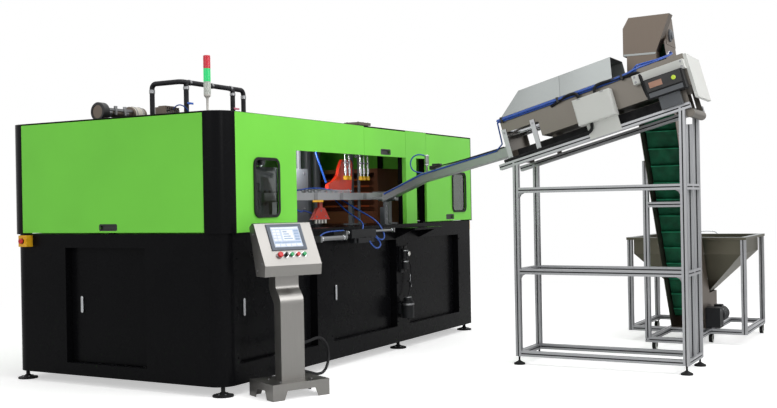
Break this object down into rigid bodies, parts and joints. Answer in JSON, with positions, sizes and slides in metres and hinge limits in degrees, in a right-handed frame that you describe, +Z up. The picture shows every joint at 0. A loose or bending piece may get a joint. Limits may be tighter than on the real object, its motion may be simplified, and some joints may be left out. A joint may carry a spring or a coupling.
{
  "type": "blow moulding machine",
  "caption": "Enclosed bottle blow moulding machine with a control pedestal and a cap feeder: an inclined sorter, a cleated elevator and a hopper.",
  "frame": {"origin": "on the floor, at the centre of the cabinet's front left levelling foot", "axes": "+X along the cabinet's front from left to right, +Y into the cabinet, +Z up"},
  "size_m": [5.021, 4.898, 2.7927],
  "materials": {
    "gloss_black": "gloss paint",
    "lime_green": "gloss paint",
    "dark_metal": "satin",
    "black_rubber": "matt",
    "tinted_glass": "clear",
    "stainless": "brushed",
    "plate_steel": "satin",
    "aluminium": "anodised",
    "chrome": "polished",
    "mould_metal": "machined",
    "tower_plastic": "clear coloured",
    "insulation": "matt",
    "red_paint": "gloss paint",
    "oven_brown": "heat-darkened",
    "yellow_plastic": "satin",
    "red_plastic": "satin",
    "green_plastic": "satin",
    "black_plastic": "satin",
    "screen": "glossy",
    "pale_paint": "satin",
    "blue_hose": "glossy",
    "belt_green": "matt",
    "grey_paint": "satin"
  },
  "bodies": {
    "line": {"base_frame": "gloss_black", "base_panels": "gloss_black", "feet_and_casters": "black_rubber", "hood_frame": "gloss_black", "hood_panels": "lime_green", "roof_panel": "dark_metal", "left_window": "tinted_glass", "signal_tower": "tower_plastic", "roof_pipes": "insulation", "roof_fittings": "dark_metal", "clamp_frame": "dark_metal", "front_rails": "aluminium", "oven_housing": "oven_brown", "ejector_cylinder": "chrome", "air_prep_unit": "dark_metal", "estop_boxes": "yellow_plastic", "pedestal_stand": "stainless", "pedestal_head": "stainless", "touchscreen": "screen", "pedestal_cable": "black_rubber", "stand_frame": "aluminium", "sorter_trough": "stainless", "junction_box": "pale_paint", "chute": "stainless", "air_hoses": "blue_hose", "lift_sides": "plate_steel", "lift_belt": "belt_green", "drive_motors": "grey_paint", "hopper": "stainless", "trolley_frame": "aluminium"},
    "left_door": {"front_door_left": "gloss_black"},
    "left_handle": {"left_door_handle": "stainless"},
    "middle_door": {"front_door_middle": "gloss_black"},
    "middle_handle": {"middle_door_handle": "stainless"},
    "right_door": {"front_door_right": "gloss_black"},
    "right_handle": {"right_door_handle": "stainless"},
    "end_door": {"end_door": "gloss_black"},
    "end_handle": {"end_door_handle": "stainless"},
    "end_cover": {"end_cover": "lime_green"},
    "right_cover": {"right_cover": "lime_green", "right_window": "tinted_glass"},
    "lintel_hatch": {"lintel_hatch": "lime_green"},
    "mould_front": {"mould_front": "mould_metal"},
    "mould_back": {"mould_back": "mould_metal"},
    "stretch_carriage": {"stretch_carriage": "aluminium"},
    "transfer": {"transfer_bar": "aluminium", "gripper_arms": "red_paint"},
    "ejector": {"ejector_rod": "dark_metal"},
    "left_stop": {"estop_button_left": "red_plastic"},
    "right_stop": {"estop_button_right": "red_plastic"},
    "pedestal_stop": {"pedestal_estop": "red_plastic"},
    "selector": {"selector_knob": "black_plastic"},
    "start": {"start_button": "green_plastic"},
    "stop": {"stop_button": "red_plastic"},
    "reset": {"reset_button": "green_plastic"},
    "lower_lid": {"sorter_lid_lower": "stainless"},
    "upper_lid": {"sorter_lid_upper": "stainless"},
    "left_roller": {"sorter_roller_left": "chrome"},
    "right_roller": {"sorter_roller_right": "chrome"},
    "head_drum": {"head_drum": "aluminium"}
  },
  "joints": [
    {"name": "left_door_hinge", "type": "hinge", "parent": "line", "child": "left_door", "pos_m": [1.114, 0.004, 0.61], "axis": [0, 0, 1], "range_deg": [0, 12]},
    {"name": "left_handle_turn", "type": "hinge", "parent": "left_door", "child": "left_handle", "pos_m": [0.238, 0.004, 0.655], "axis": [0, -1, 0], "range_deg": [0, 90]},
    {"name": "middle_door_hinge", "type": "hinge", "parent": "line", "child": "middle_door", "pos_m": [2.432, 0.004, 0.61], "axis": [0, 0, 1], "range_deg": [0, 90]},
    {"name": "middle_handle_turn", "type": "hinge", "parent": "middle_door", "child": "middle_handle", "pos_m": [1.486, 0.004, 0.655], "axis": [0, -1, 0], "range_deg": [0, 90]},
    {"name": "right_door_hinge", "type": "hinge", "parent": "line", "child": "right_door", "pos_m": [3.75, 0.004, 0.61], "axis": [0, 0, 1], "range_deg": [0, 90]},
    {"name": "right_handle_turn", "type": "hinge", "parent": "right_door", "child": "right_handle", "pos_m": [2.804, 0.004, 0.655], "axis": [0, -1, 0], "range_deg": [0, 90]},
    {"name": "end_door_hinge", "type": "hinge", "parent": "line", "child": "end_door", "pos_m": [0.004, 0.654, 0.6], "axis": [0, 0, 1], "range_deg": [0, 90]},
    {"name": "end_handle_turn", "type": "hinge", "parent": "end_door", "child": "end_handle", "pos_m": [0.004, 1.322, 0.655], "axis": [-1, 0, 0], "range_deg": [0, 90]},
    {"name": "end_cover_hinge", "type": "hinge", "parent": "line", "child": "end_cover", "pos_m": [-0.076, 0.97, 1.974], "axis": [0, 1, 0], "range_deg": [0, 80]},
    {"name": "right_cover_hinge", "type": "hinge", "parent": "line", "child": "right_cover", "pos_m": [3.53, -0.076, 1.974], "axis": [-1, 0, 0], "range_deg": [0, 80]},
    {"name": "lintel_hatch_hinge", "type": "hinge", "parent": "line", "child": "lintel_hatch", "pos_m": [2.238, -0.076, 1.974], "axis": [-1, 0, 0], "range_deg": [0, 80]},
    {"name": "front_mould_slide", "type": "slide", "parent": "line", "child": "mould_front", "axis": [0, -1, 0], "range_m": [0, 0.09]},
    {"name": "back_mould_slide", "type": "slide", "parent": "line", "child": "mould_back", "axis": [0, 1, 0], "range_m": [0, 0.09]},
    {"name": "stretch_slide", "type": "slide", "parent": "line", "child": "stretch_carriage", "axis": [0, 0, 1], "range_m": [-0.085, 0]},
    {"name": "transfer_slide", "type": "slide", "parent": "line", "child": "transfer", "axis": [1, 0, 0], "range_m": [-0.14, 0]},
    {"name": "ejector_slide", "type": "slide", "parent": "line", "child": "ejector", "axis": [1, 0, 0], "range_m": [0, 0.2]},
    {"name": "left_stop_press", "type": "slide", "parent": "line", "child": "left_stop", "axis": [1, 0, 0], "range_m": [0, 0.005], "stiffness_N_per_m": 800, "springref_m": -0.002},
    {"name": "right_stop_press", "type": "slide", "parent": "line", "child": "right_stop", "axis": [-1, 0, 0], "range_m": [0, 0.005], "stiffness_N_per_m": 800, "springref_m": -0.002},
    {"name": "pedestal_stop_press", "type": "slide", "parent": "line", "child": "pedestal_stop", "axis": [0.3766, 0.7896, -0.4844], "range_m": [0, 0.004], "stiffness_N_per_m": 800, "springref_m": -0.002},
    {"name": "selector_turn", "type": "hinge", "parent": "line", "child": "selector", "pos_m": [0.18194, -0.42655, 0.98411], "axis": [-0.3766, -0.7896, 0.4844], "range_deg": [-45, 45]},
    {"name": "start_press", "type": "slide", "parent": "line", "child": "start", "axis": [0.3766, 0.7896, -0.4844], "range_m": [0, 0.004], "stiffness_N_per_m": 800, "springref_m": -0.002},
    {"name": "stop_press", "type": "slide", "parent": "line", "child": "stop", "axis": [0.3766, 0.7896, -0.4844], "range_m": [0, 0.004], "stiffness_N_per_m": 800, "springref_m": -0.002},
    {"name": "reset_press", "type": "slide", "parent": "line", "child": "reset", "axis": [0.3766, 0.7896, -0.4844], "range_m": [0, 0.004], "stiffness_N_per_m": 800, "springref_m": -0.002},
    {"name": "lower_lid_hinge", "type": "hinge", "parent": "line", "child": "lower_lid", "pos_m": [2.5875, -1.51687, 2.09726], "axis": [0, 0.9646, -0.2639], "range_deg": [0, 80]},
    {"name": "upper_lid_hinge", "type": "hinge", "parent": "line", "child": "upper_lid", "pos_m": [2.5875, -1.99915, 2.22919], "axis": [0, 0.9646, -0.2639], "range_deg": [0, 80]},
    {"name": "left_roller_spin", "type": "hinge", "parent": "line", "child": "left_roller", "pos_m": [2.2925, -1.93568, 2.08224], "axis": [0, -0.9646, 0.2639], "continuous": true},
    {"name": "right_roller_spin", "type": "hinge", "parent": "line", "child": "right_roller", "pos_m": [2.4025, -1.93568, 2.08224], "axis": [0, -0.9646, 0.2639], "continuous": true},
    {"name": "head_drum_spin", "type": "hinge", "parent": "line", "child": "head_drum", "pos_m": [2.67132, -2.345, 2.64974], "axis": [0, 1, 0], "continuous": true}
  ],
  "couplings": [
    {"joint": "back_mould_slide", "follows": "front_mould_slide", "ratio": 1},
    {"joint": "right_roller_spin", "follows": "left_roller_spin", "ratio": -1}
  ]
}
